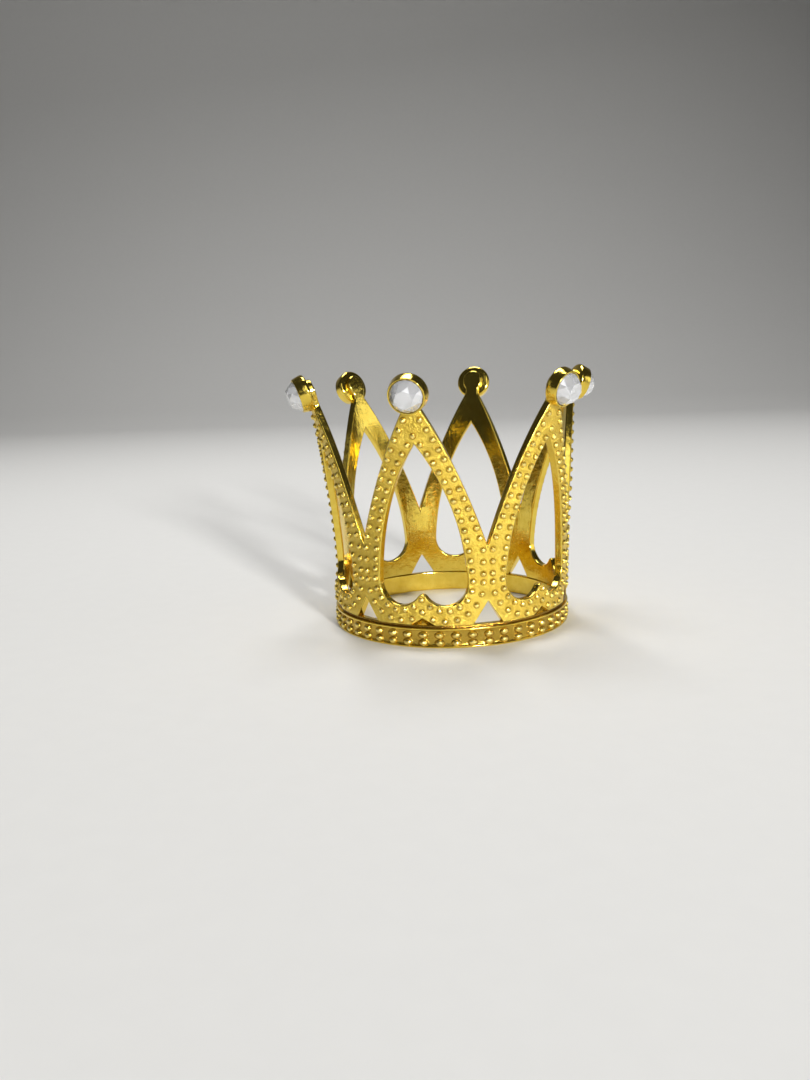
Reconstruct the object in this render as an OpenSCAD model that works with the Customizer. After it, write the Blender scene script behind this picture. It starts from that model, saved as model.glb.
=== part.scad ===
// Miniature cast crown: a beaded base ring, six pointed loops with inverted heart
// openings that flare outward, and a round cup with a clear faceted stone at each point.
// Millimetres, Z up, base centre at the origin, the first point faces -Y.

/* [Base ring] */
// Outside diameter over the plain lips
ring_d = 45; // [42:0.5:50]
// Height of the ring
ring_h = 3.5; // [3.2:0.1:3.8]
// Height of each plain lip, one above and one below the beaded band
lip_h = 0.35; // [0.25:0.05:0.5]
// How far the lips stand out from the wall
lip_step = 0.3; // [0.2:0.05:0.4]
// Number of beads in each of the two rows
ring_beads = 48; // [36:6:54]
// Diameter of a ring bead
ring_bead_d = 1.15; // [0.9:0.05:1.2]
// Height of the groove between the ring and the foot of the wall
groove_h = 0.45; // [0.35:0.05:0.6]
// Depth of the groove
groove_d = 0.35; // [0.2:0.05:0.45]

/* [Wall] */
// Thickness of the wall the loops are cut from
wall_t = 1.45; // [1.2:0.05:1.8]
// Bend radius of the gentle lower flare
low_bend_r = 276; // [220:2:400]
// Height at which the stronger upper flare begins
bend_z = 30; // [27:0.5:33]
// Bend radius of the upper flare
top_bend_r = 65; // [55:1:90]

/* [Loops] */
// Width of the metal where two loops join
joint_w = 7; // [6.4:0.1:7.6]
// Lowest point of a heart opening
opening_low = 7.4; // [7:0.1:7.8]
// Height of the pointed top of a heart opening
opening_top = 35.6; // [34.8:0.1:36]
// Radius of the two round lobes of an opening, as a share of half its width
lobe_share = 0.5; // [0.48:0.005:0.52]
// Bend radius of the sides of an opening
side_r = 48; // [44:1:54]
// Rounding of the cusp between the lobes
cusp_r = 1; // [0.9:0.05:1.2]
// Height of the V where two loops part
fork_z = 17.8; // [17:0.1:18.6]
// Width of the neck below a cup
neck_w = 3.1; // [2.8:0.1:3.6]
// Height of the neck
neck_z = 41.4; // [41:0.1:41.8]
// Bend radius of the outer edge of a loop
edge_r = 150; // [130:1:180]

/* [Small openings] */
// Height of the top of the triangular hole below each fork
hole_top = 8.1; // [7.6:0.1:8.6]
// Width of a triangular hole at its foot
hole_w = 5.5; // [4.6:0.1:6]
// Width of the shallow pocket under each cusp
pocket_w = 4.4; // [4:0.1:5.4]
// Height of a pocket
pocket_h = 1.3; // [1:0.1:1.5]
// Depth of a pocket
pocket_depth = 0.7; // [0.5:0.05:0.9]

/* [Points] */
// Height of the cup centres
tip_z = 44.2; // [44:0.1:44.6]
// Diameter of a cup at its back
cup_back_d = 6.8; // [6.6:0.1:7.2]
// Diameter of a cup at its rim
cup_rim_d = 6.25; // [6.1:0.05:6.6]
// How far the rim stands out from the wall
cup_out = 1.75; // [1.5:0.05:2]
// How far the back of a cup is let into the wall
cup_in = 0.5; // [0.4:0.05:0.7]
// Thickness of the cup floor
cup_floor = 0.85; // [0.7:0.05:1]
// Width of the round end of the strap behind a cup
tongue_d = 4.2; // [3.8:0.1:4.6]

/* [Stones] */
// Diameter of a stone at its girdle
stone_d = 5.6; // [5.3:0.05:5.7]
// How far a stone stands out of its cup
stone_out = 1.7; // [1.4:0.05:2]
// Width of the flat front of a stone
table_d = 2.9; // [2.4:0.1:3.2]
// Clearance round a stone
stone_gap = 0.05; // [0.03:0.01:0.08]

/* [Hidden] */
$fn = 96;
loops = 6;
step_a = 360 / loops;
ring_r = ring_d / 2;
wall_r = ring_r - lip_step;
bore_r = wall_r - wall_t;
deg_per_mm = 180 / (PI * wall_r);
half_w = PI * wall_r / loops;
lobe_r = lobe_share * (half_w - joint_w / 2);
foot_z = ring_h + groove_h;
// The sides of the loops are cut in at this angle, close to square with the wall
cut_a = step_a / 4.3;

// The flare: two arcs that meet without a corner
low_lean = asin((bend_z - foot_z) / low_bend_r);
low_c = [wall_r + low_bend_r, foot_z];
bend_p = low_c + low_bend_r * [-cos(low_lean), sin(low_lean)];
top_c = bend_p + top_bend_r * [cos(low_lean), -sin(low_lean)];
function lean_at(z) =
    z < foot_z ? 0 :
    z < bend_z ? asin((z - low_c.y) / low_bend_r) :
    asin((z - top_c.y) / top_bend_r);
function face_r(z) =
    z < foot_z ? wall_r :
    z < bend_z ? low_c.x - low_bend_r * cos(lean_at(z)) :
    top_c.x - top_bend_r * cos(lean_at(z));
wall_top = tip_z - 0.8;
function face_p(z) = [face_r(z), z];
function back_p(z) = face_p(z) - wall_t * [cos(lean_at(z)), -sin(lean_at(z))];
flare_z = concat(
    [for (i = [0 : 3]) foot_z + (bend_z - foot_z) * i / 4],
    [for (i = [0 : 4]) bend_z + (wall_top - bend_z) * i / 4]
);
tip_lean = lean_at(tip_z);

// Outlines are drawn on the wall unrolled at its foot: x runs round it, y is the height
function on_arc(c, r, a) = c + r * [cos(a), sin(a)];
function arc(c, r, a, b, n) = [for (i = [0 : n]) on_arc(c, r, a + (b - a) * i / n)];
function angle_of(v) = atan2(v.y, v.x);
// The point at distance ra from a and rb from b, on the inner side of the line between them
function meet(a, ra, b, rb) =
    let (
        d = norm(b - a),
        u = (b - a) / d,
        p = (ra * ra - rb * rb + d * d) / (2 * d),
        q = sqrt(ra * ra - p * p)
    )
    a + u * p + q * [u.y, -u.x];

lobe_c = [half_w - joint_w / 2 - lobe_r, opening_low + lobe_r];
apex = [0, opening_top];
side_c = meet(apex, side_r, lobe_c, side_r - lobe_r);
cusp_c = [0, lobe_c.y - sqrt(pow(lobe_r + cusp_r, 2) - pow(lobe_c.x, 2))];
side_a = angle_of(apex - side_c);
lobe_a = angle_of(lobe_c - side_c);
lobe_end = angle_of(cusp_c - lobe_c) - (angle_of(cusp_c - lobe_c) > 0 ? 360 : 0);
opening_half = concat(
    arc(side_c, side_r, side_a, lobe_a, 9),
    arc(lobe_c, lobe_r, lobe_a - 12, lobe_end, 12),
    arc(cusp_c, cusp_r, lobe_end + 165, 90, 2)
);

fork = [half_w, fork_z];
neck = [neck_w / 2 * wall_r / face_r(neck_z), neck_z];
edge_c = meet(neck, edge_r, fork, edge_r);
edge_a = angle_of(neck - edge_c);
fork_a = angle_of(fork - edge_c);
gap_half = concat(
    [[half_w, tip_z + 10], [neck.x, tip_z + 10]],
    arc(edge_c, edge_r, edge_a, fork_a, 9)
);

// The small openings start a little below the foot, in the groove
function gable(w, top) = [
    [-w / 2, foot_z - 0.1],
    [w / 2, foot_z - 0.1],
    [0, top]
];

// Cuts an outline drawn on the face of the wall straight in, at the given angle from its middle
module cut_in(outline, turn, near) {
    rotate([0, 0, turn])
        rotate([90, 0, 0])
            translate([0, 0, near])
                linear_extrude(height = ring_r)
                    polygon([for (p = outline) [face_r(p.y) * sin(p.x * deg_per_mm - turn), p.y]]);
}

module at_cup(i) {
    rotate([0, 0, i * step_a])
        translate([0, -face_r(tip_z), tip_z])
            rotate([90 + tip_lean, 0, 0])
                children();
}

module ring_profile() {
    polygon([
        [bore_r, 0],
        [ring_r, 0],
        [ring_r, lip_h],
        [wall_r, lip_h],
        [wall_r, ring_h - lip_h],
        [ring_r, ring_h - lip_h],
        [ring_r, ring_h],
        [wall_r - groove_d, ring_h],
        [wall_r - groove_d, foot_z],
        [bore_r, foot_z]
    ]);
}

module wall_profile() {
    polygon(concat(
        [for (z = flare_z) face_p(z)],
        [for (i = [len(flare_z) - 1 : -1 : 0]) back_p(flare_z[i])]
    ));
}

module half_loop_cuts() {
    cut_in(opening_half, cut_a, bore_r - 6);
    cut_in(gap_half, cut_a, bore_r - 6);
}

module wall() {
    difference() {
        rotate_extrude($fn = 180) {
            ring_profile();
            wall_profile();
        }
        for (i = [0 : loops - 1])
            rotate([0, 0, i * step_a]) {
                half_loop_cuts();
                mirror([1, 0, 0])
                    half_loop_cuts();
                cut_in(gable(pocket_w, foot_z + pocket_h), 0, wall_r - pocket_depth);
                rotate([0, 0, step_a / 2])
                    cut_in(gable(hole_w, hole_top), 0, bore_r - 2);
            }
    }
}

module cup() {
    translate([0, 0, -wall_t])
        cylinder(h = wall_t, d = tongue_d);
    difference() {
        translate([0, 0, -cup_in])
            cylinder(h = cup_in + cup_out, d1 = cup_back_d, d2 = cup_rim_d);
        translate([0, 0, cup_floor - cup_in])
            cylinder(h = cup_out + cup_in, d = stone_d + 2 * stone_gap);
    }
}

module ring_bead_rows() {
    for (i = [0 : ring_beads - 1])
        rotate([0, 0, i * 360 / ring_beads])
            for (z = [ring_h * 0.29, ring_h * 0.59])
                translate([0, 0.1 - wall_r, z])
                    sphere(d = ring_bead_d, $fn = 14);
}

module crown_body() {
    color("gold") {
        wall();
        for (i = [0 : loops - 1])
            at_cup(i)
                cup();
        ring_bead_rows();
    }
}

module facets(flat_d, slope, high) {
    cylinder(
        h = high,
        r1 = (flat_d / 2 + slope * high) / cos(22.5),
        r2 = flat_d / 2 / cos(22.5),
        $fn = 8
    );
}

module stone() {
    seat = cup_floor - cup_in;
    girdle = cup_out - seat;
    high = girdle + stone_out;
    slope = (stone_d - table_d) / 2 / stone_out;
    translate([0, 0, seat])
        intersection() {
            cylinder(h = high, d1 = stone_d - girdle, d2 = stone_d - girdle + high);
            cylinder(h = high, d = stone_d);
            facets(table_d, slope, high);
            rotate([0, 0, 22.5])
                facets(table_d + 0.3, 0.94 * slope, high);
        }
}

module set_stone(i) {
    color("white")
        at_cup(i)
            stone();
}

crown_body();
set_stone(0);  // stone_1
set_stone(1);  // stone_2
set_stone(2);  // stone_3
set_stone(3);  // stone_4
set_stone(4);  // stone_5
set_stone(5);  // stone_6
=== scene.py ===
# %% [markdown]
# # A miniature crown, cast in metal and gold plated
# The real thing is a little ornament: a beaded base ring, six pointed loops that flare
# outward, and a cup with a clear stone at every point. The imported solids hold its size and
# place. Here the metal gets its rounded edges, its beads and its finish, and the stones get
# their facets. Sizes are in millimetres and turn to metres only where a mesh is made.

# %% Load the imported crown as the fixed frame
import math

import bpy
import numpy as np
from mathutils import Matrix, Vector
from mathutils.geometry import delaunay_2d_cdt


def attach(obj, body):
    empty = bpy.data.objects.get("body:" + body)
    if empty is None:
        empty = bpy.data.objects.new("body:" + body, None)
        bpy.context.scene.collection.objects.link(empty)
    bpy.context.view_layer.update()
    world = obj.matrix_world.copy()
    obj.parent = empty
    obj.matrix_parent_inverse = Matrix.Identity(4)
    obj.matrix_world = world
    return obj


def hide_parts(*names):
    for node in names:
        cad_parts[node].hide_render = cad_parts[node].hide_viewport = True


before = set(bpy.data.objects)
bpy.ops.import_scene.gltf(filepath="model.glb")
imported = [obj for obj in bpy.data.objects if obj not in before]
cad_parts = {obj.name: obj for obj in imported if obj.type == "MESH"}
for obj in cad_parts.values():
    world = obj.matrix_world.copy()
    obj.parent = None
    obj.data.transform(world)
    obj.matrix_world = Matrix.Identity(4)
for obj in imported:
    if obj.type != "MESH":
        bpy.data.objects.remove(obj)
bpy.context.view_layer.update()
print("crown frame loaded:", sorted(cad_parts))

# %% [markdown]
# ## The sizes of the crown
# A mesh that stands in for a solid must agree with it, so these are the same named sizes that
# the solid was drawn from. One could measure them off the imported mesh instead, but the
# names keep every later line readable.

# %% Name the sizes in millimetres
MM = 0.001
LOOPS = 6

# Base ring
RING_R = 22.5
RING_H = 3.5
LIP_STEP = 0.3
GROOVE_H = 0.45
GROOVE_D = 0.35

# Flared wall
WALL_T = 1.45
LOW_BEND_R = 276.0
BEND_Z = 30.0
TOP_BEND_R = 65.0

# Heart openings
JOINT_W = 7.0
OPENING_LOW = 7.4
OPENING_TOP = 35.6
LOBE_SHARE = 0.5
SIDE_R = 48.0
CUSP_R = 1.0

# Outer edges of the loops
FORK_Z = 17.8
NECK_W = 3.1
NECK_Z = 41.4
EDGE_R = 150.0
TONGUE_D = 4.2

# Triangular holes between the loops, and the notches under the hearts
HOLE_TOP = 8.1
HOLE_W = 5.5
NOTCH_W = 4.4
NOTCH_H = 1.3
NOTCH_DEEP = 0.7

# Cups and stones
TIP_Z = 44.2
CUP_OUT = 1.75
CUP_IN = 0.5
CUP_FLOOR = 0.85
STONE_D = 5.6
STONE_OUT = 1.7
TABLE_D = 2.9

WALL_R = RING_R - LIP_STEP
BORE_R = WALL_R - WALL_T
HALF_W = math.pi * WALL_R / LOOPS
LOBE_R = LOBE_SHARE * (HALF_W - JOINT_W / 2)
FOOT_Z = RING_H + GROOVE_H
print("half a loop is", round(HALF_W, 2), "mm wide at the foot")

# %% [markdown]
# ## The flare of the wall
# The loops stand almost straight at the foot and bend outward near the points, like petals.
# The wall is drawn flat, x running round the foot and z going up, and these functions wrap
# that drawing round the crown. A lattice or a curve modifier could bend it too, but a formula
# also gives the exact surface normal, which keeps the reflections clean.

# %% Wrap a flat drawing round the crown
LOW_LEAN = math.asin((BEND_Z - FOOT_Z) / LOW_BEND_R)
LOW_C = np.array([WALL_R + LOW_BEND_R, FOOT_Z])
BEND_P = LOW_C + LOW_BEND_R * np.array([-math.cos(LOW_LEAN), math.sin(LOW_LEAN)])
TOP_C = BEND_P + TOP_BEND_R * np.array([math.cos(LOW_LEAN), -math.sin(LOW_LEAN)])


def wall_lean(z):
    low = np.arcsin(np.clip((z - LOW_C[1]) / LOW_BEND_R, 0, 0.5))
    top = np.arcsin(np.clip((z - TOP_C[1]) / TOP_BEND_R, -0.5, 0.5))
    return np.where(z < BEND_Z, low, top)


def wall_face_r(z):
    lean = np.cos(wall_lean(z))
    return np.where(z < BEND_Z, LOW_C[0] - LOW_BEND_R * lean, TOP_C[0] - TOP_BEND_R * lean)


def wall_axes(flat):
    turn, lean = flat[:, 0] / WALL_R, wall_lean(flat[:, 1])
    s, c, sl, cl = np.sin(turn), np.cos(turn), np.sin(lean), np.cos(lean)
    along = np.stack([c, s, 0 * s], 1)
    up = np.stack([sl * s, -sl * c, cl], 1)
    outward = np.stack([cl * s, -cl * c, -sl], 1)
    return along, up, outward


def wrap_on_wall(flat, depth=0.0):
    turn, r = flat[:, 0] / WALL_R, wall_face_r(flat[:, 1])
    face = np.stack([r * np.sin(turn), -r * np.cos(turn), flat[:, 1]], 1)
    return face - np.reshape(depth, (-1, 1)) * wall_axes(flat)[2]


def loop_turn(k):
    a = k * 2 * math.pi / LOOPS
    return np.array([[math.cos(a), -math.sin(a), 0], [math.sin(a), math.cos(a), 0], [0, 0, 1]])


TIP_R = float(wall_face_r(np.array(TIP_Z)))
TIP_LEAN = float(wall_lean(np.array(TIP_Z)))
print("a point stands at", round(TIP_R, 2), "mm, leaning", round(math.degrees(TIP_LEAN), 1), "degrees")

# %% [markdown]
# ## The outline of half a loop
# Every loop is a pointed strap round an inverted heart opening, and both halves mirror each
# other. So only half of one loop is drawn, as chains of points with the metal on their left:
# the heart, the outer edge with its round tongue behind the cup, and the foot, which runs from
# a small notch under the heart to the triangular hole between two loops. Curve objects could
# draw them too, but arcs that touch without a corner give the smooth run of the real casting.

# %% Helpers for chains of points
def arc(c, r, a, b, n):
    # Points on a circle round c, from angle a to angle b
    t = np.linspace(a, b, n + 1)
    return np.stack([c[0] + r * np.cos(t), c[1] + r * np.sin(t)], 1)


def meet(a, ra, b, rb):
    # The point at distance ra from a and rb from b, on the inner side of the line between them
    a, b = np.asarray(a, float), np.asarray(b, float)
    d = np.linalg.norm(b - a)
    u = (b - a) / d
    p = (ra * ra - rb * rb + d * d) / (2 * d)
    return a + u * p + math.sqrt(ra * ra - p * p) * np.array([u[1], -u[0]])


def bearing(v):
    return math.atan2(v[1], v[0])


def with_points_every(pitch, corners):
    corners = np.asarray(corners, float)
    runs = []
    for a, b in zip(corners, corners[1:]):
        n = max(1, math.ceil(np.linalg.norm(b - a) / pitch))
        runs.append(a + (b - a) * np.arange(n)[:, None] / n)
    return np.vstack(runs + [corners[-1:]])


print("a 2 mm run has", len(with_points_every(0.5, [[0, 0], [2, 0]])), "points at 0.5 mm")

# %% Draw the heart
LOBE_C = np.array([HALF_W - JOINT_W / 2 - LOBE_R, OPENING_LOW + LOBE_R])
APEX = np.array([0, OPENING_TOP])
SIDE_C = meet(APEX, SIDE_R, LOBE_C, SIDE_R - LOBE_R)
CUSP_C = np.array([0, LOBE_C[1] - math.sqrt((LOBE_R + CUSP_R) ** 2 - LOBE_C[0] ** 2)])
SIDE_A, LOBE_A = bearing(APEX - SIDE_C), bearing(LOBE_C - SIDE_C)
LOBE_END = bearing(CUSP_C - LOBE_C)
heart_edge = np.vstack([
    arc(SIDE_C, SIDE_R, SIDE_A, LOBE_A, 56)[:-1],
    arc(LOBE_C, LOBE_R, LOBE_A, LOBE_END, 34)[:-1],
    arc(CUSP_C, CUSP_R, LOBE_END + math.pi, math.pi / 2, 6),
])
print("heart drawn with", len(heart_edge), "points")

# %% Draw the outer edge and its tongue
FORK = np.array([HALF_W, FORK_Z])
NECK = np.array([NECK_W / 2 * WALL_R / wall_face_r(np.array(NECK_Z)), NECK_Z])
EDGE_C = meet(NECK, EDGE_R, FORK, EDGE_R)
EDGE_A, FORK_A = bearing(NECK - EDGE_C), bearing(FORK - EDGE_C)
TONGUE_R = TONGUE_D / 2
WAIST_SHARE = 0.46
# A high power joins the waist to the round end with a small fillet
JOIN_POWER = 9
tongue_rise = np.concatenate([
    np.linspace((NECK_Z - TIP_Z) / math.cos(TIP_LEAN), -1.0, 12)[1:-1],
    TONGUE_R * np.sin(np.linspace(math.asin(-1 / TONGUE_R), math.pi / 2, 22)),
])
round_w = np.sqrt(np.clip(TONGUE_R ** 2 - tongue_rise ** 2, 0, None))
waist_w = np.where(tongue_rise < 0, WAIST_SHARE * NECK_W, 0)
tongue_w = (round_w ** JOIN_POWER + waist_w ** JOIN_POWER) ** (1 / JOIN_POWER)
tongue_z = TIP_Z + tongue_rise * math.cos(TIP_LEAN)
outer_edge = np.vstack([
    arc(EDGE_C, EDGE_R, FORK_A, EDGE_A, 56),
    np.stack([tongue_w * WALL_R / wall_face_r(tongue_z), tongue_z], 1),
])
print("outer edge drawn with", len(outer_edge), "points")

# %% Draw the foot with its notch and half of a triangular hole
FOOT_PITCH = 0.4
HOLE_SIDE = [[HALF_W - HOLE_W / 2, FOOT_Z], [HALF_W, HOLE_TOP]]
notch_side = with_points_every(FOOT_PITCH, [[0, FOOT_Z + NOTCH_H], [NOTCH_W / 2, FOOT_Z]])
foot_side = with_points_every(FOOT_PITCH, [[NOTCH_W / 2, FOOT_Z]] + HOLE_SIDE)
front_foot = np.vstack([notch_side[:-1], foot_side])
back_foot = with_points_every(FOOT_PITCH, [[0, FOOT_Z]] + HOLE_SIDE)
hole_points = len(with_points_every(FOOT_PITCH, HOLE_SIDE))
print("foot drawn with", len(front_foot), "points in front and", len(back_foot), "behind")

# %% [markdown]
# ## Rounded edges and filled faces
# Cast edges are never sharp: a thin line of light runs along each one. A Bevel modifier can
# round a finished solid, but it struggles where many small edges meet. Here every chain is
# shifted into the metal step by step, so a quarter round can be laid between the face and the
# side. The faces are filled by Delaunay triangles with extra points inside, small enough
# for the surface to bend smoothly.

# %% Shift an edge and fill a face
EDGE_ROUND = 0.3
FACE_PITCH = 0.62
BORDER_PITCH = 0.6
# Rows of equal-sided triangles are this share of their pitch apart
ROW_SHARE = 0.866
# Extra points keep this share of the pitch away from the edge
CLEAR_SHARE = 0.55
MITRE_LIMIT = 0.25


def left_of(steps):
    # The metal is on the left of every chain
    return np.stack([-steps[:, 1], steps[:, 0]], 1) / np.linalg.norm(steps, axis=1)[:, None]


def shift_edge(chain, far, borders):
    # The end points are mirrored over the borders, so both halves of a loop meet without a corner
    flip = [np.array([2 * x - q[0], q[1]]) for x, q in zip(borders, (chain[1], chain[-2]))]
    n0 = left_of(np.diff(np.vstack([flip[0], chain]), axis=0))
    n1 = left_of(np.diff(np.vstack([chain, flip[1]]), axis=0))
    mitre = (n0 + n1) / np.maximum(1 + np.sum(n0 * n1, 1), MITRE_LIMIT)[:, None]
    return chain + far * mitre, mitre / np.linalg.norm(mitre, axis=1)[:, None]


def between(a, b):
    return with_points_every(BORDER_PITCH, [a, b])[1:-1]


def inside(points, ring):
    # A point is inside when a line to its right crosses the ring an odd number of times
    x, y = points[:, 0][:, None], points[:, 1][:, None]
    a, b = ring, np.roll(ring, -1, 0)
    cross = (a[:, 1] > y) != (b[:, 1] > y)
    height = np.where(b[:, 1] == a[:, 1], 1e-9, b[:, 1] - a[:, 1])
    at = a[:, 0] + (y - a[:, 1]) * (b[:, 0] - a[:, 0]) / height
    return np.sum(cross & (x < at), 1) % 2 == 1


def clear_of(points, ring, room):
    gap = np.min(np.linalg.norm(points[:, None, :] - ring[None, :, :], axis=2), axis=1)
    return gap > room


def fill_face(ring, pitch=FACE_PITCH):
    low, high = ring.min(0), ring.max(0)
    rows = np.arange(low[1], high[1], pitch * ROW_SHARE)
    grid = np.array([[x + (i % 2) * pitch / 2, z] for i, z in enumerate(rows)
                     for x in np.arange(low[0], high[0], pitch)])
    grid = grid[inside(grid, ring)]
    grid = grid[clear_of(grid, ring, pitch * CLEAR_SHARE)]
    points = [Vector(p) for p in np.vstack([ring, grid])]
    made = delaunay_2d_cdt(points, [], [list(range(len(ring)))], 1, 1e-6)
    return np.array(made[0]), [tuple(f) for f in made[2]]


print("edges are rounded by", EDGE_ROUND, "mm, faces filled every", FACE_PITCH, "mm")

# %% [markdown]
# ## Half a loop in three dimensions
# The front face, the rounded edges, the sides and the smooth back are gathered in one list of
# points, each with its exact normal and two numbers. The first is the polish:
# 0 on the grainy front, 1 on everything the polishing wheel or the smooth mould touched. The
# second is painted light: 1 in grooves and round the feet of the beads, where the gold is darkened
# as painted shade, and below 0 on the tops of the beads, where a paler gold is painted as a highlight.
# Two masks painted by hand could say the same, but numbers on the points need no image.

# %% Gather the front and the back of half a loop
FRONT = (0.0, 0.0)
BRIGHT = (1.0, 0.0)
# The second number of a pair is painted shade: the bead band and the groove are darkened
BAND_SHADE = (0.8, 0.6)
GROOVE_SHADE = (0.7, 1.0)


class CastMetal:
    # Points, normals, finish pairs and faces, gathered piece by piece
    def __init__(self):
        self.points, self.normals, self.finish, self.faces, self.count = [], [], [], [], 0

    def add(self, points, normals, finish, faces):
        self.points.append(np.asarray(points, float))
        self.normals.append(np.asarray(normals, float))
        self.finish.append(np.broadcast_to(np.asarray(finish, float), (len(points), 2)))
        self.faces += [tuple(i + self.count for i in f) for f in faces]
        self.count += len(points)

    def strip(self, rows, normals, finish, closed=False):
        n = len(rows[0])
        ring = range(n if closed else n - 1)
        faces = [(k * n + i, (k + 1) * n + i, (k + 1) * n + (i + 1) % n, k * n + (i + 1) % n)
                 for k in range(len(rows) - 1) for i in ring]
        self.add(np.vstack(rows), np.vstack(normals), np.repeat(np.array(finish), n, axis=0), faces)

    def arrays(self):
        return np.vstack(self.points), np.vstack(self.normals), np.vstack(self.finish)


half_loop = CastMetal()
HEART_ENDS = (0, 0)
EDGE_ENDS = (HALF_W, 0)
FOOT_ENDS = (0, HALF_W)
FOOT_ROUND = 0.12


def half_outline(foot):
    heart_in = shift_edge(heart_edge, EDGE_ROUND, HEART_ENDS)[0]
    edge_in = shift_edge(outer_edge, EDGE_ROUND, EDGE_ENDS)[0]
    foot_in = shift_edge(foot, FOOT_ROUND, FOOT_ENDS)[0]
    chains = [foot_in, between(foot_in[-1], edge_in[0]), edge_in, between(edge_in[-1], heart_in[0]),
              heart_in, between(heart_in[-1], foot_in[0])]
    return np.vstack([c for c in chains if len(c)])


front_flat, front_faces = fill_face(half_outline(front_foot))
half_loop.add(wrap_on_wall(front_flat), wall_axes(front_flat)[2], FRONT, front_faces)
back_flat, back_faces = fill_face(half_outline(back_foot))
half_loop.add(wrap_on_wall(back_flat, WALL_T), -wall_axes(back_flat)[2], BRIGHT,
              [f[::-1] for f in back_faces])
print("half a loop: front", len(front_faces), "back", len(back_faces), "triangles")

# %% [markdown]
# ### Edges and sides
# Between the front and the back runs one strip: a quarter round, the flat side of the wall and
# a second quarter round. It could be one bridge of two edge loops with a bevel afterwards, but
# rows that are set one by one carry the right normal and polish from the start.

# %% Lay the rounded edges and the sides
QUARTER = [(1 - math.sin(t), 1 - math.cos(t), math.sin(t), math.cos(t))
           for t in np.linspace(0, math.pi / 2, 5)]
# The wheel polishes an edge before it has turned fully to the side
EDGE_POLISH = 1.3
# The underside of the foot reaches a hair past the floor of the groove, so no gap shows
HAIR = 0.04


def edge_row(chain, ends, far, deep, side, front, part=slice(None)):
    flat, mitre = shift_edge(chain, far, ends)
    along, up, outward = wall_axes(flat)
    normal = front * outward - side * (mitre[:, :1] * along + mitre[:, 1:] * up)
    polish = min(1.0, EDGE_POLISH * side) if front >= 0 else 1.0
    return wrap_on_wall(flat, deep)[part], normal[part], (polish, 0.0)


def lay_edge(front_chain, back_chain, ends, r, part=slice(None)):
    front_rows = [edge_row(front_chain, ends, r * a, r * b, c, d, part) for a, b, c, d in QUARTER]
    back_rows = [edge_row(back_chain, ends, r * a, WALL_T - r * b, c, -d, part) for a, b, c, d in QUARTER]
    half_loop.strip(*zip(*(front_rows + back_rows[::-1])))


lay_edge(heart_edge, heart_edge, HEART_ENDS, EDGE_ROUND)
lay_edge(outer_edge, outer_edge, EDGE_ENDS, EDGE_ROUND)
lay_edge(front_foot, back_foot, FOOT_ENDS, FOOT_ROUND, slice(-hole_points, None))
foot_part = slice(len(notch_side) - 1, len(front_foot) - hole_points + 1)
foot_rows = [edge_row(front_foot, FOOT_ENDS, FOOT_ROUND * a, FOOT_ROUND * b, c, d, foot_part)
             for a, b, c, d in QUARTER]
foot_rows.append(edge_row(front_foot, FOOT_ENDS, 0, GROOVE_D + HAIR, 1, 0, foot_part))
half_loop.strip(*zip(*foot_rows))
print("edges laid,", half_loop.count, "points so far")

# %% [markdown]
# ### The notch under the heart
# Below every heart the foot has a shallow notch like a tiny roof: two facets that run down
# into the groove. A Boolean cut would leave ragged triangles in the rounded edge, so the
# facets are laid as a fan from the notch's rim to its deepest point.

# %% Sink the notch
notch_part = slice(0, len(notch_side))
notch_rows = [edge_row(front_foot, FOOT_ENDS, FOOT_ROUND * a, FOOT_ROUND * b * 0.5, c, d, notch_part)
              for a, b, c, d in QUARTER[:4]]
half_loop.strip(*zip(*notch_rows))
rim = notch_rows[-1][0]
deepest = wrap_on_wall(np.array([[0, FOOT_Z - 0.05]]), NOTCH_DEEP)
slope = np.cross(rim[-1] - deepest[0], rim[0] - deepest[0])
slope /= np.linalg.norm(slope)
half_loop.add(np.vstack([rim, deepest]), np.tile(slope, (len(rim) + 1, 1)), FRONT,
              [(i + 1, i, len(rim)) for i in range(len(rim) - 1)])
print("half a loop has", half_loop.count, "points and", len(half_loop.faces), "faces")

# %% [markdown]
# ## Six loops from one half
# The half is mirrored and turned six times, and points that fall on the same spot are made
# one. An Array and a Mirror modifier would do the same, but welding here keeps the exact
# normals across the seams, so no line shows in the reflections.

# %% Mirror, turn and weld the loops
WELDS_PER_MM = 2000
# The odd offset keeps points on round numbers away from the edge between two cells
WELD_OFFSET = 0.371


def weld(metal):
    points, normals, finish = metal.arrays()
    key = np.floor(points * WELDS_PER_MM + WELD_OFFSET).astype(np.int64)
    _, first, index = np.unique(key, axis=0, return_index=True, return_inverse=True)
    index = index.reshape(-1)
    total = np.zeros((len(first), 3))
    np.add.at(total, index, normals)
    faces = [tuple(dict.fromkeys(int(index[i]) for i in f)) for f in metal.faces]
    return points[first], total, finish[first], [f for f in faces if len(f) > 2]


points, normals, finish = half_loop.arrays()
all_loops = CastMetal()
for k in range(LOOPS):
    turn = loop_turn(k)
    for side in (1, -1):
        flip = np.array([side, 1, 1])
        all_loops.add((points * flip) @ turn.T, (normals * flip) @ turn.T, finish,
                      [f[::side] for f in half_loop.faces])
casting = CastMetal()
casting.add(*weld(all_loops))
print("six loops welded:", casting.count, "points,", len(casting.faces), "faces")

# %% [markdown]
# ## The base ring
# The ring is a turned form: two thin bright lips with a sunken band between them for the
# beads. It is spun from a profile, as on a lathe, and the profile's own direction gives the
# normals. A Screw modifier would spin it too, without the finish numbers. A fine groove marks
# where the loops stand on it.

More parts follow.
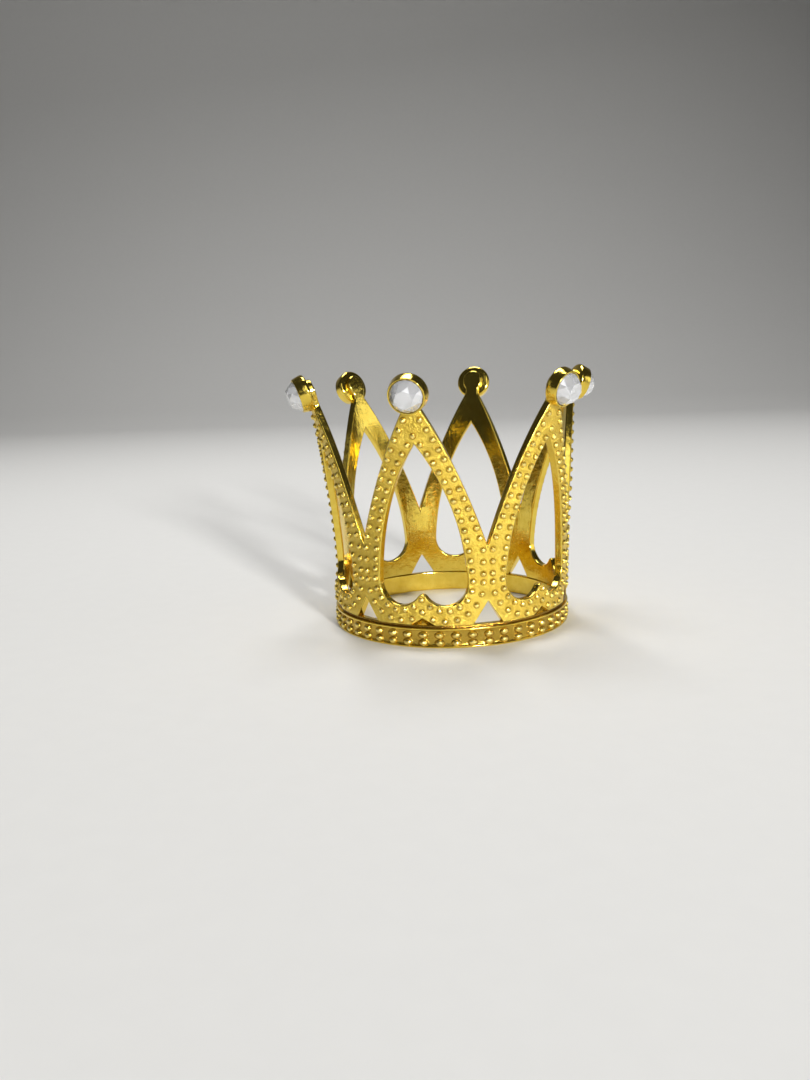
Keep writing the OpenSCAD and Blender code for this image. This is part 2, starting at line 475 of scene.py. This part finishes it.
# %% Spin a profile
def spin_metal(profile, sides, finish, metal, axes=np.eye(3), origin=np.zeros(3)):
    profile = np.asarray(profile, float)
    step = np.gradient(profile, axis=0)
    lean = np.stack([step[:, 1], -step[:, 0]], 1)
    lean /= np.linalg.norm(lean, axis=1)[:, None]
    a = np.arange(sides) * 2 * math.pi / sides
    rows = [np.stack([r * np.sin(a), -r * np.cos(a), 0 * a + z], 1) @ axes.T + origin for r, z in profile]
    normals = [np.stack([n * np.sin(a), -n * np.cos(a), 0 * a + m], 1) @ axes.T for n, m in lean]
    finish_rows = np.broadcast_to(finish, (len(profile), 2))
    metal.strip(rows[::-1], normals[::-1], finish_rows[::-1], closed=True)


def rounded(corner, r, a, b, n=5):
    return [tuple(p) for p in arc(corner, r, math.radians(a), math.radians(b), n)]


print("a rounded corner takes", len(rounded((0, 0), 1, 0, 90)), "profile points")

# %% Spin the base ring
RING_SIDES = 360
LIP_ROUND = 0.14
NECK_R = WALL_R - GROOVE_D
lower_lip = [(BORE_R + 0.6, 0.0)] + rounded((RING_R - LIP_ROUND, LIP_ROUND), LIP_ROUND, -90, 0)
lower_lip += rounded((RING_R - LIP_ROUND, 0.24), LIP_ROUND, 0, 70)
bead_band = [(WALL_R + 0.02, 0.42), (WALL_R - 0.05, 0.56), (WALL_R - 0.08, 1.0),
             (WALL_R - 0.08, 2.4), (WALL_R - 0.05, 2.94), (WALL_R + 0.02, 3.08)]
upper_lip = rounded((RING_R - LIP_ROUND, RING_H - 0.24), LIP_ROUND, -70, 0)
upper_lip += rounded((RING_R - LIP_ROUND, RING_H - LIP_ROUND), LIP_ROUND, 0, 90)
groove = [(NECK_R + 0.2, RING_H), (NECK_R + 0.06, RING_H + 0.02), (NECK_R, RING_H + 0.1),
          (NECK_R, FOOT_Z - 0.1), (NECK_R - 0.03, FOOT_Z - 0.03), (NECK_R - 0.1, FOOT_Z)]
inner_wall = [(BORE_R + 0.2, FOOT_Z), (BORE_R + 0.08, FOOT_Z - 0.02), (BORE_R + 0.01, FOOT_Z - 0.12),
              (BORE_R, FOOT_Z - 0.25), (BORE_R + 0.05, 2.8), (BORE_R + 0.08, 1.9), (BORE_R + 0.05, 1.0)]
inner_wall += rounded((BORE_R + 0.25, 0.25), 0.25, 180, 270) + [(BORE_R + 0.6, 0.0)]
ring_profile = lower_lip + bead_band + upper_lip + groove + inner_wall


# The bead band and the groove under the loops get painted shade
def ring_finish(r, z):
    if 0.5 < z < 3.0 and r > NECK_R:
        return BAND_SHADE
    if z > RING_H + 0.01 and abs(r - NECK_R) < 0.08:
        return GROOVE_SHADE
    return BRIGHT


spin_metal(ring_profile, RING_SIDES, [ring_finish(r, z) for r, z in ring_profile], casting)
print("ring spun from", len(ring_profile), "profile points")

# %% [markdown]
# ## The cups
# A shallow round cup closes every point, with a softly domed back and a thin rim that holds
# the stone. It is spun like the ring, about the axis that stands square on the wall, and its
# foot is let into the strap so that both read as one casting. A cylinder with a bevel would
# come close, but the profile gives the soft back that shows from inside the crown.

# %% Spin a cup at every point
CUP_SIDES = 72


def cup_place(k):
    s, c = math.sin(TIP_LEAN), math.cos(TIP_LEAN)
    axes = loop_turn(k) @ np.array([[1, 0, 0], [0, -s, -c], [0, c, -s]])
    return axes, loop_turn(k) @ np.array([0, -TIP_R, TIP_Z])


cup_profile = (
    [(0.02, -0.78), (1.2, -0.74), (2.3, -0.6)]
    + rounded((2.86, 0.0), 0.54, -75, 0, 6)
    + [(3.37, 0.4), (3.28, 0.9), (3.2, 1.3)]
    + rounded((3.0, 1.6), 0.15, 10, 180, 7)
    + [(2.85, 1.3), (2.84, 0.9), (2.82, 0.4)]
)
for k in range(LOOPS):
    spin_metal(cup_profile, CUP_SIDES, BRIGHT, casting, *cup_place(k))
print("casting now has", casting.count, "points")

# %% [markdown]
# ## The casting becomes an object
# The points turn to metres here. The exact normals are given to the mesh, so its shading does
# not depend on the size of its triangles, and the two finish numbers are kept on its points.
# Smooth shading with a sharp-edge angle would be simpler, but it blurs small rounded edges.

# %% Make a mesh with its own normals
def make_piece(name, metal, *stands_for):
    points, normals, finish = metal.arrays()
    mesh = bpy.data.meshes.new(name)
    mesh.from_pydata((points * MM).tolist(), [], metal.faces)
    mesh.polygons.foreach_set("use_smooth", np.ones(len(mesh.polygons), bool))
    # The second layer darkens the gold as painted shade, and paints a highlight where it is below 0
    for column, word in enumerate(("polish", "painted_shade_and_highlight")):
        layer = mesh.attributes.new(word, "FLOAT", "POINT")
        layer.data.foreach_set("value", finish[:, column].astype(np.float32))
    unit = normals / np.maximum(np.linalg.norm(normals, axis=1), 1e-9)[:, None]
    mesh.normals_split_custom_set_from_vertices(unit.tolist())
    piece = bpy.data.objects.new(name, mesh)
    bpy.context.scene.collection.objects.link(piece)
    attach(piece, "root")
    if stands_for:
        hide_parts(*stands_for)
    print(name, "has", sum(len(p.vertices) - 2 for p in mesh.polygons), "triangles")
    return piece


crown_casting = make_piece("crown_casting", casting, "crown_body")

# %% [markdown]
# ## The beads
# Two rows of small domes follow every strap, one along the heart and one along the outer edge,
# and two rows of bigger ones fill the band of the ring. A particle system or an instancer
# could scatter them, but a list of spots keeps each bead where the mould had it. The solid
# holds the ring's beads as round balls; the small ones on the straps are made only here.

# %% Find where the beads of a loop sit
BEAD_D = 1.0
BEAD_PITCH = 1.85
LOBE_PITCH = 1.7
FOOT_ROW_PITCH = 2.05
BEAD_INSET = 0.85
CUSP_DROP = 2.2
# The outer row starts a little below the neck, and the joint's rows a little below the fork
NECK_ROOM = math.radians(0.55)
FORK_ROOM = 0.3


def spaced(c, r, a, b, pitch=BEAD_PITCH):
    n = max(1, round(abs(b - a) * r / pitch))
    return arc(c, r, a, b, n)[:-1]


ROW_IN, ROW_OUT = SIDE_R + BEAD_INSET, LOBE_R + JOINT_W / 2 - BEAD_INSET
CUSP_BEAD_Z = CUSP_C[1] + CUSP_R - BEAD_INSET
JOINT_ROWS = round((FORK_Z - LOBE_C[1]) / BEAD_PITCH)
joint_z = FORK_Z - (FORK_Z - LOBE_C[1]) * (np.arange(JOINT_ROWS) + FORK_ROOM) / JOINT_ROWS
bead_flat = np.vstack([
    spaced(SIDE_C, ROW_IN, math.acos(-SIDE_C[0] / ROW_IN), LOBE_A),
    spaced(LOBE_C, LOBE_R + BEAD_INSET, LOBE_A, LOBE_END, LOBE_PITCH),
    [[0, CUSP_BEAD_Z], [0, CUSP_BEAD_Z - CUSP_DROP]],
    spaced(EDGE_C, EDGE_R - BEAD_INSET, EDGE_A - NECK_ROOM, FORK_A),
    np.stack([0 * joint_z + HALF_W - BEAD_INSET, joint_z], 1),
    spaced(LOBE_C, ROW_OUT, 0, -math.pi / 2 - math.asin(LOBE_C[0] / ROW_OUT), FOOT_ROW_PITCH),
])
# Beads on the middle line are their own mirror images
mirrored = bead_flat[bead_flat[:, 0] > 0.01] * [-1, 1]
bead_flat = np.vstack([bead_flat, mirrored])
print(len(bead_flat), "beads on each loop")

# %% [markdown]
# ### The shape of a bead
# A cast bead is a dome with a small fillet at its foot, darkened as painted shade, and a top
# painted paler as a highlight. A UV sphere pushed into the wall would lack the fillet,
# so the dome is spun from a short table of its own. The ring's beads are wider than they are
# high and their two rows fill the band, as on the real ring.

# %% Raise the beads
BEAD_SIDES = 14
RING_BEADS = 48
RING_BEAD_D = 1.15
RING_BEAD_W = 1.6
RING_BEAD_SIDES = 18
RING_BEAD_SET_IN = 0.1
# Painted shade round the feet of the ring's beads
RING_BEAD_FOOT_SHADE = 0.6
RING_BEAD_SHINE = 0.62
RING_ROWS = (RING_H * 0.25, RING_H * 0.64)
DOME = [
    # how far out, how high, normal outward, normal upward, polish, painted shade (below 0 a painted
    # highlight)
    (1.5, -0.03, 0.05, 1.0, 0.0, 0.0),
    (1.26, 0.0, 0.25, 1.0, 0.0, 0.3),
    (1.1, 0.08, 0.8, 0.7, 0.2, 0.75),
    (1.02, 0.26, 1.0, 0.35, 0.5, 0.4),
    (0.94, 0.48, 0.9, 0.5, 0.5, 0.0),
    (0.78, 0.71, 0.78, 0.72, 0.5, -0.5),
    (0.52, 0.89, 0.52, 0.9, 0.5, -0.9),
    (0.2, 0.985, 0.2, 1.0, 0.5, -1.0),
]


def raise_bead(metal, spot, axes, wide, tall, high, sides, foot_shade=0.0, shine=0.0):
    a = np.arange(sides) * 2 * math.pi / sides
    along, up, outward = axes
    ring = np.cos(a)[:, None] * along * wide + np.sin(a)[:, None] * up * tall
    lean = np.cos(a)[:, None] * along + np.sin(a)[:, None] * up
    start = metal.count
    rows, normals, finish = [], [], []
    for far, h, n, m, polish, painted_shade_and_highlight in DOME[::-1]:
        rows.append(spot + far * ring + high * h * outward)
        normals.append(n * lean + m * outward)
        # Rows round the foot are darkened at least this much as painted shade; the top rows carry a
        # painted highlight
        finish.append((max(polish, shine), max(painted_shade_and_highlight, foot_shade) if far > 1 else painted_shade_and_highlight))
    metal.strip(rows, normals, finish, closed=True)
    metal.faces.append(tuple(start + i for i in range(sides)))


beads = CastMetal()
spots, axes = wrap_on_wall(bead_flat), wall_axes(bead_flat)
for k in range(LOOPS):
    turn = loop_turn(k)
    for i in range(len(spots)):
        raise_bead(beads, turn @ spots[i], [turn @ axis[i] for axis in axes],
                   BEAD_D / 2, BEAD_D / 2, BEAD_D * 0.5, BEAD_SIDES)
for i in range(RING_BEADS):
    a = i * 2 * math.pi / RING_BEADS
    out = np.array([math.sin(a), -math.cos(a), 0])
    side = np.array([math.cos(a), math.sin(a), 0])
    for z in RING_ROWS:
        spot = out * (WALL_R - RING_BEAD_SET_IN) + [0, 0, z]
        raise_bead(beads, spot, (side, np.array([0, 0, 1.0]), out),
                   RING_BEAD_W / 2, RING_BEAD_D / 2, RING_BEAD_D / 2,
                   RING_BEAD_SIDES, RING_BEAD_FOOT_SHADE, RING_BEAD_SHINE)
crown_beads = make_piece("crown_beads", beads)

# %% [markdown]
# ## The stones
# Each stone is a small round brilliant: a table, eight stars, eight kites and sixteen girdle
# facets in front, and a coned back that carries a mirror foil. A bevelled cylinder would be
# quicker, but the facets are built one by one as flat polygons, because only true facets
# give the broken, sparkling look.

# %% Cut the stones
STAR_R = 2.2
GIRDLE_H = 0.22
FOIL_R = 1.4


def facet_ring(r, z, n, off):
    turns = [2 * math.pi * (i + off) / n for i in range(n)]
    return [(r * math.cos(t), r * math.sin(t), z) for t in turns]


def cut_stone(name, k, node):
    seat, girdle = CUP_FLOOR - CUP_IN, CUP_OUT
    top = girdle + STONE_OUT
    r_table, r_out = TABLE_D / 2 / math.cos(math.pi / 8), STONE_D / 2
    star_z = top - STONE_OUT * (STAR_R * math.cos(math.pi / 8) - r_table) / (r_out - r_table)
    points = (facet_ring(r_table, top, 8, 0) + facet_ring(STAR_R, star_z, 8, 0.5)
              + facet_ring(r_out, girdle, 16, 0) + facet_ring(r_out, girdle - GIRDLE_H, 16, 0)
              + facet_ring(FOIL_R, seat, 8, 0.5))
    # Where each ring of points starts in the list; the rim is the girdle's upper edge
    table, star, rim, under, back = 0, 8, 16, 32, 48
    faces, foil = [tuple(range(8))], []
    for i in range(8):
        j, a, b, c = (i + 1) % 8, 2 * i, 2 * i + 1, (2 * i + 2) % 16
        faces += [
            (table + i, star + i, table + j),
            (table + i, star + (i - 1) % 8, rim + a, star + i),
            (star + i, rim + a, rim + b),
            (star + i, rim + b, rim + c),
        ]
        foil += [
            (under + a, back + i, under + b),
            (under + b, back + i, under + c),
            (under + c, back + i, back + j),
        ]
    faces += [(rim + i, under + i, under + (i + 1) % 16, rim + (i + 1) % 16) for i in range(16)]
    foil += [tuple(back + i for i in range(7, -1, -1))]
    axes, origin = cup_place(k)
    mesh = bpy.data.meshes.new(name)
    mesh.from_pydata(((np.array(points) @ axes.T + origin) * MM).tolist(), [], faces + foil)
    mesh.polygons.foreach_set("material_index", [0] * len(faces) + [1] * len(foil))
    piece = bpy.data.objects.new(name, mesh)
    bpy.context.scene.collection.objects.link(piece)
    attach(piece, "root")
    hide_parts(node)
    return piece


cut_stones = [cut_stone(f"cut_stone_{k + 1}", k, f"stone_{k + 1}") for k in range(LOOPS)]
print("cut", len(cut_stones), "stones of", len(cut_stones[0].data.polygons), "facets")

# %% [markdown]
# ## The finishes
# Colours are written as the eye sees them, in sRGB hex, and one function turns them to the
# linear light that the renderer adds up. One more function adds a node with its settings and
# links; every finish is built from that alone. Pattern sizes are given in millimetres.

# %% Helpers for every finish
def to_linear(hex_code):
    parts = [int(hex_code[i:i + 2], 16) / 255 for i in (1, 3, 5)]
    return tuple(c / 12.92 if c <= 0.04045 else ((c + 0.055) / 1.055) ** 2.4 for c in parts) + (1.0,)


def add_node(tree, kind, settings={}, inputs={}):
    # Inputs that share a name go by number: the two colours of a Mix are 6 and 7, and a Map Range
    # has its value, from low, from high, to low and to high at 0 to 4
    made = tree.nodes.new(kind)
    for name, value in settings.items():
        setattr(made, name, value)
    for key, value in inputs.items():
        if isinstance(value, bpy.types.NodeSocket):
            tree.links.new(value, made.inputs[key])
        else:
            made.inputs[key].default_value = value
    return made


def new_finish(name):
    finish = bpy.data.materials.new(name)
    finish.use_nodes = True
    shader = finish.node_tree.nodes["Principled BSDF"]
    return finish, finish.node_tree, shader


def per_metre(millimetres):
    return 1000.0 / millimetres


print("a pattern of 2 mm repeats", per_metre(2.0), "times in a metre")

# %% [markdown]
# ### Gold plate on a cast alloy
# The metal is a zinc alloy cast in a grainy mould, tumbled and flash plated with bright gold.
# Its front keeps the sand-like grain of the mould, which scatters the light to a satin. Edges
# and the smooth inside are polished and mirror the orange of the metal opposite. One flat gold
# would look like plastic, so the tone wanders a little. The polish number steers the satin, and the
# second number darkens grooves and bead feet as painted shade and paints a highlight on bead tops.

# %% Mix the colour of the gold plate
gold_plate, tree, shader = new_finish("gold_plate_on_cast_zinc")
place = add_node(tree, "ShaderNodeTexCoord").outputs["Object"]
polished = add_node(tree, "ShaderNodeAttribute", {"attribute_name": "polish"}).outputs["Fac"]
# The second number: painted shade above 0, painted highlight below 0
shade_and_highlight_fac = add_node(tree, "ShaderNodeAttribute", {"attribute_name": "painted_shade_and_highlight"}).outputs["Fac"]

# The plate is uneven in patches of about 2 mm: paler where it is thick, deeper where it is thin
tone = add_node(tree, "ShaderNodeTexNoise", {},
                {"Vector": place, "Scale": per_metre(2.2), "Detail": 4.0, "Roughness": 0.6})
plate_colour = add_node(tree, "ShaderNodeMix", {"data_type": "RGBA"},
                        {0: tone.outputs["Fac"], 6: to_linear("#D8B236"), 7: to_linear("#FFE670")})
# Grooves and the feet of the beads are darkened to brown as painted shade
painted_shade_amount = add_node(tree, "ShaderNodeMath", {"operation": "MULTIPLY"}, {0: shade_and_highlight_fac, 1: 0.75})
painted_shade_colour = add_node(tree, "ShaderNodeMix", {"data_type": "RGBA"},
                       {0: painted_shade_amount.outputs[0], 6: plate_colour.outputs[2], 7: to_linear("#7A480E")})
# Bead tops are painted a pale, bright gold as a painted highlight
painted_highlight_amount = add_node(tree, "ShaderNodeMapRange", {}, {0: shade_and_highlight_fac, 1: 0.0, 2: -1.0, 3: 0.0, 4: 0.85})
painted_highlight_colour = add_node(tree, "ShaderNodeMix", {"data_type": "RGBA"},
                       {0: painted_highlight_amount.outputs[0], 6: painted_shade_colour.outputs[2], 7: to_linear("#FFE98E")})
tree.links.new(painted_highlight_colour.outputs[2], shader.inputs["Base Color"])
shader.inputs["Metallic"].default_value = 1.0
print("plate colour mixed with", len(tree.nodes), "nodes")

# %% [markdown]
# ### The grain of the plate
# The real mould grain is about 0.15 mm and the lines of the polishing wheel are finer still.
# Both are too fine to show at this distance, so the grain is drawn at 0.6 mm and the lines at
# 0.4 mm. Real displacement would need millions of faces; bump does it for the light alone.

# %% Add the grain, the polishing lines and the soft ripple
grain = add_node(tree, "ShaderNodeTexNoise", {},
                 {"Vector": place, "Scale": per_metre(0.6), "Detail": 4.0, "Roughness": 0.7})
ripple = add_node(tree, "ShaderNodeTexNoise", {},
                  {"Vector": place, "Scale": per_metre(2.0), "Detail": 2.0})
grain_high = add_node(tree, "ShaderNodeMapRange", {}, {0: polished, 1: 0.0, 2: 1.0, 3: 1.0, 4: 0.05})
rough = add_node(tree, "ShaderNodeMapRange", {}, {0: polished, 1: 0.0, 2: 1.0, 3: 0.36, 4: 0.13})
streak_place = add_node(tree, "ShaderNodeMapping", {}, {"Vector": place, "Scale": (1.0, 1.0, 0.06)})
streak = add_node(tree, "ShaderNodeTexNoise", {},
                  {"Vector": streak_place.outputs[0], "Scale": per_metre(0.4), "Detail": 3.0})
streak_rough = add_node(tree, "ShaderNodeMath", {"operation": "MULTIPLY_ADD"},
                        {0: streak.outputs["Fac"], 1: 0.2, 2: -0.1})
all_rough = add_node(tree, "ShaderNodeMath", {"operation": "ADD"},
                     {0: rough.outputs[0], 1: streak_rough.outputs[0]})
tree.links.new(all_rough.outputs[0], shader.inputs["Roughness"])
grain_bump = add_node(tree, "ShaderNodeBump", {},
                      {"Strength": grain_high.outputs[0], "Distance": 0.45 * MM,
                       "Height": grain.outputs["Fac"]})
streak_bump = add_node(tree, "ShaderNodeBump", {},
                       {"Strength": 0.3, "Distance": 0.08 * MM,
                        "Height": streak.outputs["Fac"], "Normal": grain_bump.outputs[0]})
cast_bump = add_node(tree, "ShaderNodeBump", {},
                     {"Strength": 0.5, "Distance": 0.15 * MM,
                      "Height": ripple.outputs["Fac"], "Normal": streak_bump.outputs[0]})
tree.links.new(cast_bump.outputs[0], shader.inputs["Normal"])
for piece in (crown_casting, crown_beads):
    piece.data.materials.append(gold_plate)
print("gold plate mixed with", len(tree.nodes), "nodes")

# %% [markdown]
# ### Clear stone and its foil
# The stones are clear cast acrylic with a thin mirror coat on the back. Light goes in through
# the facets, is thrown back by the foil and comes out broken up, white here and grey there.
# Clear acrylic alone came out too grey, with so much dark room round it. So a share of mirror
# is mixed into the clear part, as the foil gives it when it shines through a facet. The clear
# part is nearly smooth; the foil is a little uneven, so the sparkle isn't perfect.

# %% Mix the clear acrylic
clear_acrylic, tree, shader = new_finish("clear_cast_acrylic")
place = add_node(tree, "ShaderNodeTexCoord").outputs["Object"]
# Fine rubbing marks, drawn as patches of 0.9 mm, leave a breath of haze on some facets
haze = add_node(tree, "ShaderNodeTexNoise", {},
                {"Vector": place, "Scale": per_metre(0.9), "Detail": 2.0})
haze_rough = add_node(tree, "ShaderNodeMapRange", {},
                      {0: haze.outputs["Fac"], 1: 0.3, 2: 0.8, 3: 0.0, 4: 0.06})
tree.links.new(haze_rough.outputs[0], shader.inputs["Roughness"])
shader.inputs["Base Color"].default_value = to_linear("#FFFFFF")
shader.inputs["Transmission Weight"].default_value = 0.62
shader.inputs["Metallic"].default_value = 0.3
shader.inputs["IOR"].default_value = 1.49
print("clear acrylic mixed with", len(tree.nodes), "nodes")

# %% Mix the mirror foil and dress the stones
mirror_foil, tree, shader = new_finish("silver_mirror_foil")
place = add_node(tree, "ShaderNodeTexCoord").outputs["Object"]
# The coat is thinner in patches of about a millimetre, where it turns a cooler grey
patch = add_node(tree, "ShaderNodeTexNoise", {},
                 {"Vector": place, "Scale": per_metre(1.1), "Detail": 3.0})
foil_colour = add_node(tree, "ShaderNodeMix", {"data_type": "RGBA"},
                       {0: patch.outputs["Fac"], 6: to_linear("#D4D8E0"), 7: to_linear("#FFFFFF")})
tree.links.new(foil_colour.outputs[2], shader.inputs["Base Color"])
foil_rough = add_node(tree, "ShaderNodeMapRange", {},
                      {0: patch.outputs["Fac"], 1: 0.3, 2: 0.7, 3: 0.04, 4: 0.14})
tree.links.new(foil_rough.outputs[0], shader.inputs["Roughness"])
shader.inputs["Metallic"].default_value = 0.95
for piece in cut_stones:
    piece.data.materials.append(clear_acrylic)
    piece.data.materials.append(mirror_foil)
print("foil mixed with", len(tree.nodes), "nodes,", len(cut_stones), "stones dressed")

# %% [markdown]
# ## The studio
# A pale sweep of paper carries the crown: a flat floor that curves up far behind it, turned to
# face the camera. A plain plane would do for the shadow, but its far edge would show.

# %% Lay the pale sweep
SWEEP_W = 1.8
SWEEP_BEND = 0.5
CAMERA_TURN = math.radians(13.2)
bend = np.linspace(0.2, math.pi / 2, 9)
floor_y = [-1.6, -0.6, 0.0, 0.6] + [0.6 + SWEEP_BEND * math.sin(t) for t in bend] + [1.1]
floor_z = [0.0] * 4 + [SWEEP_BEND - SWEEP_BEND * math.cos(t) for t in bend] + [1.6]
sweep_points = [(x, y, z) for y, z in zip(floor_y, floor_z) for x in (-SWEEP_W, SWEEP_W)]
sweep_faces = [(2 * i, 2 * i + 1, 2 * i + 3, 2 * i + 2) for i in range(len(floor_y) - 1)]
sweep_mesh = bpy.data.meshes.new("pale_sweep")
sweep_mesh.from_pydata(sweep_points, [], sweep_faces)
sweep_mesh.polygons.foreach_set("use_smooth", np.ones(len(sweep_faces), bool))
sweep_mesh.transform(Matrix.Rotation(CAMERA_TURN, 4, "Z"))
pale_sweep = bpy.data.objects.new("pale_sweep", sweep_mesh)
bpy.context.scene.collection.objects.link(pale_sweep)

# Matt paper gives a soft floor without a gloss. Its real fibres are far below a millimetre,
# so the faint clouds they make are drawn at 4 mm
matt_paper, tree, shader = new_finish("matt_backdrop_paper")
place = add_node(tree, "ShaderNodeTexCoord").outputs["Object"]
fibre = add_node(tree, "ShaderNodeTexNoise", {},
                 {"Vector": place, "Scale": per_metre(4.0), "Detail": 2.0})
paper_colour = add_node(tree, "ShaderNodeMix", {"data_type": "RGBA"},
                        {0: fibre.outputs["Fac"], 6: to_linear("#DAD9D6"), 7: to_linear("#DDDCD9")})
tree.links.new(paper_colour.outputs[2], shader.inputs["Base Color"])
shader.inputs["Roughness"].default_value = 0.9
pale_sweep.data.materials.append(matt_paper)
print("sweep laid,", 2 * SWEEP_W, "m wide")

# %% [markdown]
# ### The lamps
# The photograph was lit by a low light from the right front, so a small key panel stands there
# with a narrow beam and draws the long shadow. A broad panel above the camera puts a light on
# every bead and facet, and others stand at the right, at the left and high above. Metal shows
# what is around it, so dark room is left between the panels: it gives the gold its play of
# light and deep orange. An even white dome would make it look flat.

# %% Hang the lamps
CROWN_MIDDLE = Vector((0.0, 0.0, 0.022))


def hang_lamp(name, place, size, watts, spread=180):
    lamp = bpy.data.lights.new(name, "AREA")
    lamp.size = size
    lamp.energy = watts
    lamp.spread = math.radians(spread)
    holder = bpy.data.objects.new(name, lamp)
    holder.location = place
    holder.rotation_euler = (CROWN_MIDDLE - Vector(place)).to_track_quat("-Z", "Y").to_euler()
    bpy.context.scene.collection.objects.link(holder)


hang_lamp("key_panel", (0.74, -0.94, 0.318), size=0.12, watts=1.68, spread=60)
hang_lamp("front_panel", (0.28, -0.62, 0.48), size=0.35, watts=0.55)
hang_lamp("side_panel", (1.0, 0.1, 0.138), size=0.6, watts=1.4)
hang_lamp("fill_panel", (-0.52, -0.30, 0.22), size=0.3, watts=0.08)
hang_lamp("top_panel", (-0.1, 0.2, 0.7), size=0.35, watts=4.2)
world = bpy.data.worlds.new("grey_room")
world.use_nodes = True
world.node_tree.nodes["Background"].inputs["Color"].default_value = to_linear("#363636")
world.node_tree.nodes["Background"].inputs["Strength"].default_value = 1.0
bpy.context.scene.world = world
bpy.context.scene.view_settings.view_transform = "Standard"
print("five panels and a grey room")

# %% [markdown]
# ## The camera
# The photograph's view was worked out from the ring's ellipse and the points: close by, a
# little above the rim, turned slightly off the first point and rolled by two degrees. A Track
# To constraint would aim it, but it couldn't hold the roll.

# %% Set the camera at the photograph's view
LENS_PX = 954.011
FRAME_PX = 1080
SENSOR = 36.0
ROLL = math.radians(-2.091)
eye = Vector((41.497, -176.994, 49.696)) * MM
look = Vector((-0.26947, 0.94474, -0.18669)).normalized()
level = look.cross(Vector((0, 0, 1))).normalized()
upright = level.cross(look)
right = level * math.cos(ROLL) + upright * math.sin(ROLL)
above = upright * math.cos(ROLL) - level * math.sin(ROLL)
camera = bpy.data.objects.new("photo_view", bpy.data.cameras.new("photo_view"))
camera.matrix_world = Matrix((right, above, -look)).transposed().to_4x4()
camera.location = eye
camera.data.sensor_width = SENSOR
camera.data.lens = SENSOR * LENS_PX / FRAME_PX
camera.data.clip_start = 0.01
bpy.context.scene.collection.objects.link(camera)
bpy.context.scene.camera = camera
print("lens", round(camera.data.lens, 2), "mm at", round(eye.length * 1000), "mm")
